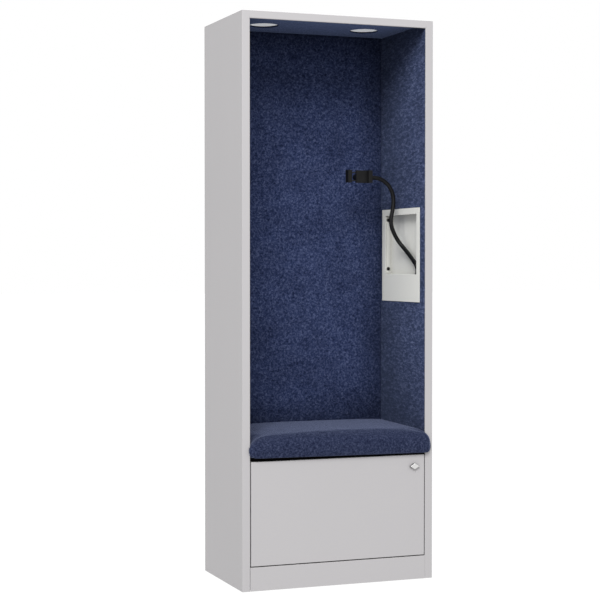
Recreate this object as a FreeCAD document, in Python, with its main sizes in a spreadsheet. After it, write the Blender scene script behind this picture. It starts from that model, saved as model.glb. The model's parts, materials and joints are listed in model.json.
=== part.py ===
import FreeCAD, Part
import Sketcher
import math
import os

# Single-seat acoustic pod: folded steel case lined with felt, open at the front,
# with a padded seat over a drawer, two ceiling lights and a recessed wall tray
# that carries a flexible holder.
#
# Frame: +Z up, the open front faces -Y, +X to the right of someone facing it.
# Origin on the floor, under the middle of the bounding box.

doc = FreeCAD.newDocument("office_pod")
sheet = doc.addObject("Spreadsheet::Sheet", "dims")

DIMENSIONS = [
    # case
    ("case_width", 800), ("case_depth", 470), ("case_height", 2215), ("front_y", -224.6),
    ("steel", 1.2), ("foot_gap", 2), ("flange", 32), ("flange_lip", 5), ("rear_flange", 20),
    ("bend_radius", 2), ("front_bend", 3), ("rail_height", 29), ("panel_play", 0.2),
    ("plinth_top", 93), ("plinth_lip", 16), ("base_level", 80), ("base_setback", 17),
    ("deck_level", 508), ("deck_setback", 28), ("deck_back", 441), ("deck_fold", 30),
    ("wall_hole_radius", 4), ("wall_hole_pitch", 500), ("wall_hole_level", 2160),
    ("entry_x", 300), ("entry_level", 150), ("entry_hole_radius", 10),
    # lining
    ("felt", 9), ("ceiling_felt", 6), ("ceiling_level", 2202), ("back_felt_front", 430),
    ("lining_bottom", 508.4), ("filling_top", 2080),
    # lights
    ("light_x", 217), ("light_depth", 268), ("bezel_radius", 59.5), ("bezel_inner", 55.5),
    ("light_sink", 5.5), ("light_body_radius", 57), ("light_top", 11),
    # wall tray
    ("fascia_front", 51), ("fascia_back", 418), ("fascia_bottom", 1100), ("fascia_top", 1480),
    ("fascia_sheet", 1.4), ("recess_front", 82), ("recess_back", 384),
    ("recess_bottom", 1212), ("recess_top", 1455), ("recess_depth", 26.4),
    ("strip_width", 13), ("strip_sheet", 2), ("cap_radius", 6.4), ("cap_height", 5),
    # flexible holder
    ("neck_radius", 7.5), ("neck_x", 380), ("neck_root_depth", 97), ("neck_plane", 236),
    ("neck_first_level", 1252), ("neck_second_level", 1320), ("neck_third_x", 320.4),
    ("neck_third_level", 1414), ("neck_fourth_x", 334.8), ("neck_fourth_level", 1499),
    ("neck_top_level", 1606), ("neck_end_x", 187), ("pivot_first", 66), ("pivot_second", 59),
    ("pivot_third", 52), ("link_gap", 0.6),
    ("ball_radius", 8), ("ball_play", 0.06), ("head_x", 172), ("ball_depth", 219),
    ("head_radius", 13), ("jaw_half", 25), ("jaw_left", 109), ("jaw_left_inner", 122.5),
    ("jaw_right_inner", 201.3), ("jaw_right", 215.6), ("jaw_front", 172), ("clamp_back", 203.6),
    ("clamp_front", 191), ("clamp_left", 152), ("rod_radius", 2.5), ("rod_play", 0.05),
    ("rod_pitch", 16), ("rod_depth", 197.3),
    # seat
    ("pad_proud", 22), ("pad_top", 598), ("pad_half", 365.6), ("pad_bulge", 379),
    ("board_sheet", 11.7),
    # drawer
    ("front_half", 364.5), ("front_bottom", 97), ("front_top", 497), ("front_thick", 18),
    ("front_sheet", 1), ("box_half", 351), ("box_bottom", 108), ("box_top", 402),
    ("box_back", 430), ("slide_level", 240), ("slide_half", 22.5), ("slide_front", 24),
    ("slide_back", 430),
    # lock
    ("lock_x", 319), ("lock_level", 452.5), ("lock_radius", 9.5), ("spindle_radius", 6),
    ("spindle_play", 0.05), ("knob_half_width", 20), ("knob_half_height", 14), ("cam_reach", 55),
]
ALIAS = {}
for row, (name, value) in enumerate(DIMENSIONS, 1):
    sheet.set("A%d" % row, name)
    sheet.set("B%d" % row, "%s" % value)
    sheet.setAlias("B%d" % row, name)
doc.recompute()
for name, value in DIMENSIONS:
    ALIAS[name] = float(sheet.get(name))


class Size:
    """A length that keeps its formula in the sheet's cells beside its value."""

    def __init__(self, text, value):
        self.text = text
        self.value = value

    @staticmethod
    def of(other):
        if isinstance(other, Size):
            return other
        return Size("(%.6f)" % other, float(other))

    def __add__(self, other):
        o = Size.of(other)
        return Size("(%s + %s)" % (self.text, o.text), self.value + o.value)

    __radd__ = __add__

    def __sub__(self, other):
        o = Size.of(other)
        return Size("(%s - %s)" % (self.text, o.text), self.value - o.value)

    def __rsub__(self, other):
        return Size.of(other) - self

    def __mul__(self, other):
        o = Size.of(other)
        return Size("(%s * %s)" % (self.text, o.text), self.value * o.value)

    __rmul__ = __mul__

    def __truediv__(self, other):
        o = Size.of(other)
        return Size("(%s / %s)" % (self.text, o.text), self.value / o.value)

    def __neg__(self):
        return Size("(0 - %s)" % self.text, -self.value)


def d(name):
    return Size("dims." + name, ALIAS[name])


def depth(q):
    """Distance behind the front plane, turned into the frame's Y."""
    return d("front_y") + q


nodes = []
count = [0]


def fresh(kind):
    count[0] += 1
    return "%s_%03d" % (kind, count[0])


def node(label, obj):
    obj.Label = label
    nodes.append(obj)
    return obj


def place(obj, x, y, z):
    for axis, q in (("x", x), ("y", y), ("z", z)):
        obj.setExpression("Placement.Base." + axis, Size.of(q).text)


def box(x0, x1, y0, y1, z0, z1):
    o = doc.addObject("Part::Box", fresh("block"))
    x0, x1, y0, y1, z0, z1 = [Size.of(q) for q in (x0, x1, y0, y1, z0, z1)]
    o.setExpression("Length", (x1 - x0).text)
    o.setExpression("Width", (y1 - y0).text)
    o.setExpression("Height", (z1 - z0).text)
    place(o, x0, y0, z0)
    return o


AXES = {"x": (1, 0, 0), "y": (0, 1, 0), "z": (0, 0, 1)}


def rod(axis, radius, x, y, z, length):
    """A cylinder from (x, y, z) along a frame axis."""
    o = doc.addObject("Part::Cylinder", fresh("rod"))
    o.Placement = FreeCAD.Placement(
        FreeCAD.Vector(0, 0, 0),
        FreeCAD.Rotation(FreeCAD.Vector(0, 0, 1), FreeCAD.Vector(*AXES[axis])))
    o.setExpression("Radius", Size.of(radius).text)
    o.setExpression("Height", Size.of(length).text)
    place(o, x, y, z)
    return o


def ball(radius, x, y, z):
    o = doc.addObject("Part::Sphere", fresh("ball"))
    o.setExpression("Radius", Size.of(radius).text)
    place(o, x, y, z)
    return o


def fuse(*objs):
    o = doc.addObject("Part::MultiFuse", fresh("joined"))
    o.Shapes = list(objs)
    o.Refine = True
    return o


def cut(base, *tools):
    o = doc.addObject("Part::Cut", fresh("cut"))
    o.Base = base
    o.Tool = tools[0] if len(tools) == 1 else fuse(*tools)
    return o


def group(*objs):
    o = doc.addObject("Part::Compound", fresh("group"))
    o.Links = list(objs)
    return o


def rounded(obj, radius, pick):
    """Round the edges of obj that pick(edge) chooses."""
    doc.recompute()
    o = doc.addObject("Part::Fillet", fresh("rounded"))
    o.Base = obj
    o.Edges = [(i, radius, radius) for i, e in enumerate(obj.Shape.Edges, 1) if pick(e)]
    return o


def mid(e):
    return e.valueAt(0.5 * (e.FirstParameter + e.LastParameter))


def straight_along(e, axis):
    if not isinstance(e.Curve, Part.Line):
        return False
    return abs(abs(e.Curve.Direction.dot(FreeCAD.Vector(*AXES[axis]))) - 1) < 1e-6


def sketch_on(body, role, name):
    plane = [o for o in body.Origin.OriginFeatures if o.Role == role][0]
    s = body.newObject("Sketcher::SketchObject", name)
    s.AttachmentSupport = [(plane, "")]
    s.MapMode = "FlatFace"
    return s


def outline(s, points):
    """A closed outline of straight lines, each corner bound to the sheet."""
    first = s.GeometryCount
    n = len(points)
    pts = [(Size.of(u), Size.of(v)) for u, v in points]
    for i in range(n):
        a, b = pts[i], pts[(i + 1) % n]
        s.addGeometry(Part.LineSegment(FreeCAD.Vector(a[0].value, a[1].value, 0),
                                       FreeCAD.Vector(b[0].value, b[1].value, 0)), False)
    for i in range(n):
        s.addConstraint(Sketcher.Constraint("Coincident", first + i, 2, first + (i + 1) % n, 1))
    for i in range(n):
        for q, kind in ((pts[i][0], "DistanceX"), (pts[i][1], "DistanceY")):
            c = s.addConstraint(Sketcher.Constraint(kind, -1, 1, first + i, 1, q.value))
            s.setExpression("Constraints[%d]" % c, q.text)


def ring(s, u, v, radius):
    u, v, radius = Size.of(u), Size.of(v), Size.of(radius)
    g = s.addGeometry(Part.Circle(FreeCAD.Vector(u.value, v.value, 0),
                                  FreeCAD.Vector(0, 0, 1), radius.value), False)
    for q, con in ((u, Sketcher.Constraint("DistanceX", -1, 1, g, 3, u.value)),
                   (v, Sketcher.Constraint("DistanceY", -1, 1, g, 3, v.value)),
                   (radius, Sketcher.Constraint("Radius", g, radius.value))):
        c = s.addConstraint(con)
        s.setExpression("Constraints[%d]" % c, q.text)


PLANES = {"x": "YZ_Plane", "y": "XZ_Plane", "z": "XY_Plane"}


def section(axis, start, length, points, holes=()):
    """A folded or cut sheet: one outline, run along a frame axis from start.

    A run along Y is drawn on the XZ plane, whose pad goes towards -Y, so the body
    is set at the far end of the run."""
    body = doc.addObject("PartDesign::Body", fresh("body"))
    s = sketch_on(body, PLANES[axis], fresh("outline"))
    outline(s, points)
    for h in holes:
        ring(s, *h)
    pad = body.newObject("PartDesign::Pad", fresh("pad"))
    pad.Profile = s
    length = Size.of(length)
    pad.setExpression("Length", length.text)
    start = Size.of(start)
    if axis == "x":
        place(body, start, 0, 0)
    elif axis == "y":
        place(body, 0, start + length, 0)
    else:
        place(body, 0, 0, start)
    doc.recompute()
    return body


def soften(body, radius, pick):
    """A rounded bend along the edges that pick(edge) chooses."""
    tip = body.Tip
    names = ["Edge%d" % i for i, e in enumerate(tip.Shape.Edges, 1) if pick(e)]
    f = body.newObject("PartDesign::Fillet", fresh("bend"))
    f.Base = (tip, names)
    f.setExpression("Radius", Size.of(radius).text)
    doc.recompute()
    return body


def turned(points, x, y, z):
    """A turned piece: (radius, height) outline spun about a vertical axis at x, y."""
    body = doc.addObject("PartDesign::Body", fresh("turned"))
    s = sketch_on(body, "XZ_Plane", fresh("outline"))
    outline(s, points)
    r = body.newObject("PartDesign::Revolution", fresh("spin"))
    r.Profile = s
    r.ReferenceAxis = (s, ["V_Axis"])
    r.Angle = 360
    place(body, x, y, z)
    doc.recompute()
    return body


def solid(shape):
    """A free-form piece whose shape is worked out from the sheet's values."""
    o = doc.addObject("Part::Feature", fresh("formed"))
    o.Shape = shape
    return o


# ------------------------------------------------------------------ steel case
half = d("case_width") / 2
t = d("steel")
front = d("front_y")
back = d("front_y") + d("case_depth")
inner = half - d("flange")          # inner edge of the front flanges
play = d("panel_play")


def side_panel(sign):
    xo, xi, xr = sign * half, sign * inner, sign * (half - d("rear_flange"))
    ts = sign * t
    lip = front + d("flange_lip")
    pts = [(xo, front), (xi, front), (xi, lip), (xi + ts, lip), (xi + ts, front + t),
           (xo - ts, front + t), (xo - ts, back - t), (xr, back - t), (xr, back), (xo, back)]
    b = section("z", d("foot_gap"), d("case_height") - t - d("foot_gap") - 0.1, pts)

    def at(*corners):
        def pick(e):
            m = mid(e)
            return straight_along(e, "z") and any(
                abs(m.x - cx.value) < 0.01 and abs(m.y - cy.value) < 0.01 for cx, cy in corners)
        return pick

    # the two bends of the front flange, outside and inside of the sheet, and the rear bend
    soften(b, d("front_bend"), at((xo, front), (xi, front)))
    soften(b, d("front_bend") - t, at((xo - ts, front + t), (xi + ts, front + t)))
    return soften(b, d("bend_radius"), at((xo, back)))


node("left_side_panel", side_panel(-1))
node("right_side_panel", side_panel(1))

# top: a cap sheet with a rail folded down between the flanges and a lip behind it
top_z = d("case_height")
cap = box(-half, half, front, back, top_z - t, top_z)
cap_round = rounded(cap, ALIAS["front_bend"], lambda e: straight_along(e, "z"))
rail = section("x", -(inner - 0.1), 2 * (inner - 0.1), [
    (front, top_z - t * 0.5), (front, top_z - d("rail_height")),
    (front + d("flange_lip"), top_z - d("rail_height")),
    (front + d("flange_lip"), top_z - d("rail_height") + t),
    (front + t, top_z - d("rail_height") + t), (front + t, top_z - t * 0.5)])
soften(rail, d("front_bend"), lambda e: straight_along(e, "x")
       and abs(mid(e).y - front.value) < 0.01
       and abs(mid(e).z - (top_z - d("rail_height")).value) < 0.01)
soften(rail, d("front_bend") - t, lambda e: straight_along(e, "x")
       and abs(mid(e).y - (front + t).value) < 0.01
       and abs(mid(e).z - (top_z - d("rail_height") + t).value) < 0.01)
node("top_panel", fuse(cap_round, rail))

# back: a flat sheet held in front of the rear flanges, with two wall-fixing holes
# and the hole of the supply entry
bp_half = half - t - play
node("back_panel", section(
    "y", depth(d("case_depth") - t - 0.2 - t), t,
    [(-bp_half, 3), (bp_half, 3), (bp_half, top_z - t - 0.4), (-bp_half, top_z - t - 0.4)],
    holes=[(-(d("wall_hole_pitch") / 2), d("wall_hole_level"), d("wall_hole_radius")),
           (d("wall_hole_pitch") / 2, d("wall_hole_level"), d("wall_hole_radius")),
           (d("entry_x"), d("entry_level"), d("entry_hole_radius"))]))
bp_front = depth(d("case_depth") - t - 0.2 - t)     # inner face of the back panel

# base: a pan with its front and rear edges folded down
bz = d("base_level")
node("base_panel", section("x", -bp_half, 2 * bp_half, [
    (depth(d("base_setback")), 8), (depth(d("base_setback")) + t, 8),
    (depth(d("base_setback")) + t, bz), (bp_front - play - t, bz), (bp_front - play - t, 8),
    (bp_front - play, 8), (bp_front - play, bz + t), (depth(d("base_setback")), bz + t)]))

plinth = section("x", -(inner - 0.2), 2 * (inner - 0.2), [
    (front, d("foot_gap")), (front + t, d("foot_gap")), (front + t, d("plinth_top") - t),
    (front + d("plinth_lip"), d("plinth_top") - t), (front + d("plinth_lip"), d("plinth_top")),
    (front, d("plinth_top"))])
soften(plinth, d("bend_radius"), lambda e: straight_along(e, "x")
       and abs(mid(e).y - front.value) < 0.01 and abs(mid(e).z - ALIAS["plinth_top"]) < 0.01)
node("plinth", plinth)

dk = d("deck_level")
node("seat_deck", section("x", -bp_half, 2 * bp_half, [
    (depth(d("deck_setback")), dk), (depth(d("deck_setback")), dk - d("deck_fold")),
    (depth(d("deck_setback")) + t, dk - d("deck_fold")), (depth(d("deck_setback")) + t, dk - t),
    (depth(d("deck_back")) - t, dk - t), (depth(d("deck_back")) - t, dk - 20),
    (depth(d("deck_back")), dk - 20), (depth(d("deck_back")), dk)]))

# corner brackets and the levelling feet screwed into them
brackets, feet = [], []
for sx in (-1, 1):
    for yc in (50, 422):
        xa, xb = sx * bp_half, sx * (bp_half - 60)
        brackets.append(cut(box(xb if sx > 0 else xa, xa if sx > 0 else xb,
                                depth(yc - 30), depth(yc + 30), 24, 27),
                            rod("z", 5.05, sx * (bp_half - 30), depth(yc), 20, 12)))
        feet.append(turned([(0, 0), (17, 0), (18, 1.2), (18, 4.5), (15, 7), (9, 8.5), (5, 9.5),
                            (5, 56), (0, 56)], sx * (bp_half - 30), depth(yc), 0))
node("base_corner_brackets", group(*brackets))
node("levelling_feet", group(*feet))

# rivets through the rear flanges
rivets = []
for sx in (-1, 1):
    for k in range(6):
        r = turned([(0, 0), (3.2, 0), (3.0, 0.5), (2.2, 1.0), (0, 1.2)], 0, 0, 0)
        r.Placement = FreeCAD.Placement(
            FreeCAD.Vector(0, 0, 0),
            FreeCAD.Rotation(FreeCAD.Vector(0, 0, 1), FreeCAD.Vector(0, 1, 0)))
        place(r, sx * (half - d("rear_flange") / 2), back, 120 + 395 * k)
        rivets.append(r)
node("back_panel_rivets", group(*rivets))

# ------------------------------------------------------------------ lining
lb = d("lining_bottom")
cz = d("ceiling_level")
f = d("felt")
lining_front = front + d("flange_lip") + 0.4
felt_back = depth(d("back_felt_front")) + f

node("left_felt", box(-(inner + f), -inner, lining_front, felt_back, lb, cz - 0.2))
rec_lo, rec_hi = d("recess_bottom") - t - 0.4, d("recess_top") + t + 0.4
rec_fr, rec_bk = depth(d("recess_front")) - t - 0.4, depth(d("recess_back")) + t + 0.4
node("right_felt", cut(box(inner, inner + f, lining_front, felt_back, lb, cz - 0.2),
                       box(inner - 5, inner + f + 5, rec_fr, rec_bk, rec_lo, rec_hi)))
node("back_felt", box(-(inner - 0.2), inner - 0.2, depth(d("back_felt_front")), felt_back, lb,
                      cz - 0.2))
lx, ly = d("light_x"), depth(d("light_depth"))
hole = d("bezel_radius") + 0.4
node("ceiling_felt", cut(
    box(-(inner + f - 0.2), inner + f - 0.2, lining_front, felt_back, cz, cz + d("ceiling_felt")),
    rod("z", hole, -lx, ly, cz - 5, 20), rod("z", hole, lx, ly, cz - 5, 20)))

fill_x0, fill_x1 = inner + f + 0.2, half - t - 0.2
node("left_filling", box(-fill_x1, -fill_x0, lining_front, felt_back, lb, cz - 1))
node("right_filling", cut(box(fill_x0, fill_x1, lining_front, felt_back, lb, cz - 1),
                          box(fill_x0 - 5, fill_x1 + 5, rec_fr, rec_bk, rec_lo, rec_hi)))
node("back_filling", box(-(inner + f - 0.2), d("entry_x") - 15, felt_back + 0.2, bp_front - 0.3,
                         lb, d("filling_top")))

# ------------------------------------------------------------------ lights
br, bi, ls = d("bezel_radius"), d("bezel_inner"), d("light_sink")
hr, hh = d("light_body_radius"), d("light_top")
for side, sx in (("left", -1), ("right", 1)):
    # bezel: a flat ring with a rounded rim, sunk in the hole of the felt
    node(side + "_light_bezel", turned(
        [(bi, ls + 0.4), (bi + 0.4, ls), (br - 0.8, ls), (br, ls + 0.8), (br, ls + 1.8),
         (bi, ls + 1.8)], sx * lx, ly, cz))
    # diffuser: a slightly domed disc inside the ring
    node(side + "_light_diffuser", turned(
        [(0, ls + 0.1), (bi * 0.6, ls + 0.25), (bi - 2, ls + 0.5), (bi - 0.2, ls + 0.8),
         (bi - 0.2, ls + 1.6), (0, ls + 1.6)], sx * lx, ly, cz))
    # housing: a shallow cup above the ring
    node(side + "_light_housing", turned(
        [(hr - 1.5, ls + 1.9), (hr, ls + 1.9), (hr, hh), (0, hh), (0, hh - 1.2), (hr - 1.5, hh - 1.2)],
        sx * lx, ly, cz))

drv_z0, drv_z1 = 2105, 2147
drv = box(-80, 80, depth(442), depth(464), drv_z0, drv_z1)
node("led_driver", rounded(drv, 2.5, lambda e: straight_along(e, "x")))


def arc_path(points, radii):
    """Straight runs joined by tangent arcs, as one list of edges and their sizes."""
    pts = [FreeCAD.Vector(*p) for p in points]
    pieces = []
    at = pts[0]
    for i in range(1, len(pts) - 1):
        a = (pts[i - 1] - pts[i]).normalize()
        b = (pts[i + 1] - pts[i]).normalize()
        turn = math.acos(max(-1.0, min(1.0, a.dot(b))))
        reach = radii[i - 1] / math.tan(turn / 2)
        start, end = pts[i] + a * reach, pts[i] + b * reach
        centre = pts[i] + (a + b).normalize() * (radii[i - 1] / math.sin(turn / 2))
        normal = a.cross(b) * -1
        normal.normalize()
        pieces.append(("run", at, start))
        pieces.append(("arc", start, end, centre, normal, math.pi - turn))
        at = end
    pieces.append(("run", at, pts[-1]))
    return pieces


def tube(points, radii, radius, ends=()):
    """A round tube of runs and elbows, with extra solids joined to its ends."""
    parts = []
    for p in arc_path(points, radii):
        if p[0] == "run":
            along = p[2] - p[1]
            if along.Length > 1e-6:
                parts.append(Part.makeCylinder(radius, along.Length, p[1], along))
        else:
            _, start, end, centre, normal, angle = p
            tangent = normal.cross(start - centre)
            disc = Part.Face(Part.Wire(Part.makeCircle(radius, start, tangent)))
            parts.append(disc.revolve(centre, normal, math.degrees(angle)))
    parts.extend(ends)
    if len(parts) == 1:
        return parts[0]
    return parts[0].multiFuse(parts[1:]).removeSplitter()


def run_length(points, radii):
    total = 0.0
    for p in arc_path(points, radii):
        total += (p[2] - p[1]).Length if p[0] == "run" else radii_of(p) * p[5]
    return total


def radii_of(p):
    return (p[1] - p[3]).Length


F = ALIAS["front_y"]
cable_y = F + 452
wire_z = ALIAS["ceiling_level"] + ALIAS["ceiling_felt"] + 3.35
light_wires = []
for sx in (-1, 1):
    pts = [(sx * ALIAS["light_x"], F + ALIAS["light_depth"] + ALIAS["light_body_radius"] + 0.2, wire_z),
           (sx * ALIAS["light_x"], cable_y, wire_z), (sx * ALIAS["light_x"], cable_y, 2126),
           (sx * 80.2, cable_y, 2126)]
    light_wires.append(tube(pts, [12, 30], 1.75))
node("light_cables", solid(Part.makeCompound(light_wires)))

supply = [(ALIAS["entry_x"], F + 462.8, ALIAS["entry_level"]),
          (ALIAS["entry_x"], F + 447, ALIAS["entry_level"]),
          (ALIAS["entry_x"], F + 447, 2126), (80.2, F + 447, 2126)]
node("supply_cable", solid(tube(supply, [12, 45], 3)))

# entry grommet: a closed membrane grommet in the back panel
eg = turned([(0, -4), (6, -4), (12.5, -4), (13, -3.4), (13, -1.6), (9.8, -1.5), (9.8, 0.1),
             (12, 0.2), (12, 1.0), (10.5, 1.3), (4, 1.35), (0, 1.35)], 0, 0, 0)
eg.Placement = FreeCAD.Placement(
    FreeCAD.Vector(0, 0, 0),
    FreeCAD.Rotation(FreeCAD.Vector(0, 0, 1), FreeCAD.Vector(0, 1, 0)))
place(eg, d("entry_x"), bp_front + t - 0.05, d("entry_level"))
node("power_entry_grommet", eg)

# ------------------------------------------------------------------ wall tray
fy0, fy1 = depth(d("fascia_front")), depth(d("fascia_back"))
ry0, ry1 = depth(d("recess_front")), depth(d("recess_back"))
rz0, rz1 = d("recess_bottom"), d("recess_top")
fascia = cut(box(inner - d("fascia_sheet"), inner - 0.05, fy0, fy1, d("fascia_bottom"), d("fascia_top")),
             box(inner - 10, inner + 10, ry0, ry1, rz0, rz1))
fx = (inner - d("fascia_sheet")).value
node("tray_fascia", rounded(fascia, 0.9, lambda e: not straight_along(e, "x")
                            and abs(mid(e).x - fx) < 0.01))
node("recess_box", cut(box(inner, inner + d("recess_depth") + t, ry0 - t, ry1 + t, rz0 - t, rz1 + t),
                       box(inner - 5, inner + d("recess_depth"), ry0, ry1, rz0, rz1)))
sx0 = inner + 3.5
strip = box(sx0, sx0 + d("strip_width"), ry1 - 0.05 - d("strip_sheet"), ry1 - 0.05, rz0 + 5, rz1 - 5)
node("cable_cover", rounded(strip, 0.7, lambda e: abs(mid(e).y - (ry1 - 0.05 - d("strip_sheet")).value) < 0.01))
caps = []
for zc in (1234, 1437):
    c = turned([(0, 0), (d("cap_radius"), 0), (d("cap_radius"), d("cap_height") - 2),
                (d("cap_radius") - 0.6, d("cap_height") - 0.8), (d("cap_radius") - 2, d("cap_height")),
                (0, d("cap_height"))], 0, 0, 0)
    c.Placement = FreeCAD.Placement(
        FreeCAD.Vector(0, 0, 0),
        FreeCAD.Rotation(FreeCAD.Vector(0, 0, 1), FreeCAD.Vector(0, -1, 0)))
    place(c, sx0 + d("strip_width") / 2, ry1 - 0.05 - d("strip_sheet"), zc)
    caps.append(c)
node("cover_caps", group(*caps))

# ------------------------------------------------------------------ flexible holder
A = ALIAS
nr = A["neck_radius"]
root = FreeCAD.Vector(A["neck_x"], F + A["neck_root_depth"], A["recess_bottom"])
npl = F + A["neck_plane"]
v1 = FreeCAD.Vector(A["neck_x"], root.y, A["neck_first_level"])
v2 = FreeCAD.Vector(A["neck_x"], npl, A["neck_second_level"])
v3 = FreeCAD.Vector(A["neck_third_x"], npl, A["neck_third_level"])
v4 = FreeCAD.Vector(A["neck_fourth_x"], npl, A["neck_fourth_level"])
v5 = FreeCAD.Vector(A["neck_fourth_x"] + 1, npl, A["neck_top_level"])
v6 = FreeCAD.Vector(A["neck_end_x"], npl, A["neck_top_level"])


def on(a, b, dist):
    return a + (b - a).normalize() * dist


pivot_a = on(v1, v2, A["pivot_first"])
pivot_b = on(v2, v3, A["pivot_second"])
pivot_c = on(v3, v4, A["pivot_third"])
stand = nr + A["link_gap"]

node("neck_socket", turned(
    [(d("spindle_radius") - 0.95, 0), (11, 0), (11, 3), (9.5, 4.2), (9.2, 17), (8.4, 18),
     (d("spindle_radius") - 0.95, 18)],
    d("neck_x"), depth(d("neck_root_depth")), d("recess_bottom")))
spigot = Part.makeCylinder(A["spindle_radius"] - 1, 16.5, FreeCAD.Vector(root.x, root.y, root.z + 2))
node("neck_link_1", solid(tube(
    [(root.x, root.y, root.z + 18.4), v1, pivot_a], [20], nr, [spigot, Part.makeSphere(nr, pivot_a)])))
node("neck_link_2", solid(tube(
    [on(pivot_a, v2, stand), v2, pivot_b], [50], nr, [Part.makeSphere(nr, pivot_b)])))
node("neck_link_3", solid(tube(
    [on(pivot_b, v3, stand), v3, pivot_c], [60], nr, [Part.makeSphere(nr, pivot_c)])))
node("neck_link_4", solid(tube([on(pivot_c, v4, stand), v4, v5, v6], [110, 86], nr)))

# head block: the end fitting of the neck, with the ball's cup facing forwards
hx, hz = d("head_x"), d("neck_top_level")
bc_y = depth(d("ball_depth"))
head = fuse(rod("y", d("head_radius"), hx, bc_y - 3, hz, 33),
            rod("x", d("neck_radius") + 2, hx, depth(d("neck_plane")), hz, d("neck_end_x") - d("head_x")))
head_round = rounded(head, 2.5, lambda e: isinstance(e.Curve, Part.Circle)
                     and abs(mid(e).y - (bc_y + 30).value) < 0.01)
node("head_block", cut(head_round, ball(d("ball_radius") + d("ball_play"), hx, bc_y, hz)))
cb = depth(d("clamp_back"))
node("ball_stud", fuse(ball(d("ball_radius"), hx, bc_y, hz), rod("y", 4, hx, cb + 3, hz, bc_y - cb - 3),
                       rod("y", 15, hx, cb + 0.4, hz, 3), rod("y", 3, hx, cb - 5.5, hz, 6.5)))

# clamp: body with the fixed jaw, moving jaw on two rods, pads on both jaws
jz0, jz1 = hz - d("jaw_half"), hz + d("jaw_half")
jf, cf = depth(d("jaw_front")), depth(d("clamp_front"))
body_block = fuse(box(d("clamp_left"), d("jaw_right"), cf, cb, jz0, jz1),
                  box(d("jaw_right_inner"), d("jaw_right"), jf, cb, jz0, jz1),
                  box(d("jaw_right_inner") - 3.3, d("jaw_right"), jf, jf + 4, jz0, jz1))


def jaw_edges(e):
    m = mid(e)
    return straight_along(e, "z") and (abs(m.y - jf.value) < 0.01 or abs(m.y - cb.value) < 0.01)


body_round = rounded(body_block, 1.6, jaw_edges)
rz_hi, rz_lo = hz + d("rod_pitch"), hz - d("rod_pitch")
rdy = depth(d("rod_depth"))
bore = d("rod_radius") + d("rod_play")
node("clamp_body", cut(body_round,
                       rod("x", bore, d("clamp_left") - 5, rdy, rz_hi, 48),
                       rod("x", bore, d("clamp_left") - 5, rdy, rz_lo, 48),
                       rod("y", 3.05, hx, cb - 6, hz, 10)))
jaw_block = fuse(box(d("jaw_left"), d("jaw_left_inner"), jf, cb, jz0, jz1),
                 box(d("jaw_left"), d("jaw_left_inner") + 3.3, jf, jf + 4, jz0, jz1))
node("moving_jaw", rounded(jaw_block, 1.6, jaw_edges))
node("jaw_rods", group(
    rod("x", d("rod_radius"), d("jaw_left_inner") + 0.02, rdy, rz_hi, 47.5),
    rod("x", d("rod_radius"), d("jaw_left_inner") + 0.02, rdy, rz_lo, 47.5)))
node("fixed_jaw_pad", box(d("jaw_right_inner") - 1.5, d("jaw_right_inner") - 0.05, jf + 4.6, cf - 0.6,
                          jz0 + 3, jz1 - 3))
node("moving_jaw_pad", box(d("jaw_left_inner") + 0.05, d("jaw_left_inner") + 1.5, jf + 4.6, cf - 0.6,
                           jz0 + 3, jz1 - 3))

# ------------------------------------------------------------------ seat
ph, pb = d("pad_half"), d("pad_bulge")
pad_front = front - d("pad_proud")
pad_back = depth(d("back_felt_front")) - 1.5
pad_low = dk + 1
board_top = dk + 0.3 + d("board_sheet")
# cushion: the front roll hangs in front of the board and bulges over the flanges
roll = box(-pb, pb, pad_front, front - 0.8, pad_low, d("pad_top") - 4)
pad_block = fuse(box(-ph, ph, pad_front, pad_back, board_top + 0.3, d("pad_top")),
                 box(-ph, ph, pad_front, depth(6), pad_low, d("pad_top")), roll)
node("seat_cushion", pad_block)
node("seat_board", box(-352, 352, depth(8), depth(425), dk + 0.3, board_top))

# ------------------------------------------------------------------ drawer
fh, fz0, fz1, fth, fs = d("front_half"), d("front_bottom"), d("front_top"), d("front_thick"), d("front_sheet")
lkx, lkz = d("lock_x"), d("lock_level")
skin = box(-fh, fh, front, front + fth, fz0, fz1)
skin_round = rounded(skin, 1.6, lambda e: abs(mid(e).y - front.value) < 0.01)
node("drawer_front", cut(skin_round, box(-(fh - fs), fh - fs, front + fs, front + fth + 5, fz0 + fs, fz1 - fs),
                         rod("y", d("lock_radius") + 0.1, lkx, front - 5, lkz, 20)))
node("drawer_front_inner", cut(
    box(-(fh - fs - 0.1), fh - fs - 0.1, front + fth - 1.2, front + fth, fz0 + fs + 0.1, fz1 - fs - 0.1),
    rod("y", d("lock_radius") + 0.1, lkx, front, lkz, 40)))
bh, bz0, bz1 = d("box_half"), d("box_bottom"), d("box_top")
bx0, bx1 = front + fth + 0.1, depth(d("box_back"))
node("drawer_box", cut(box(-bh, bh, bx0, bx1, bz0, bz1),
                       box(-(bh - fs), bh - fs, bx0 - 5, bx1 - fs, bz0 + fs, bz1 + 20)))

# telescopic slides: three nested channels a side, and the bracket that packs the
# outer one off the case
sz, sh = d("slide_level"), d("slide_half")
sy0, sy1 = depth(d("slide_front")), depth(d("slide_back"))
run = sy1 - sy0


def channel(sign, web_out, web_in, lip_to, reach):
    """A channel section: web between web_out and web_in, lips reaching to lip_to."""
    s = sign
    pts = [(s * web_out, sz - reach), (s * lip_to, sz - reach), (s * lip_to, sz - reach + 1.2),
           (s * web_in, sz - reach + 1.2), (s * web_in, sz + reach - 1.2), (s * lip_to, sz + reach - 1.2),
           (s * lip_to, sz + reach), (s * web_out, sz + reach)]
    return section("y", sy0, run, pts)


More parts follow.
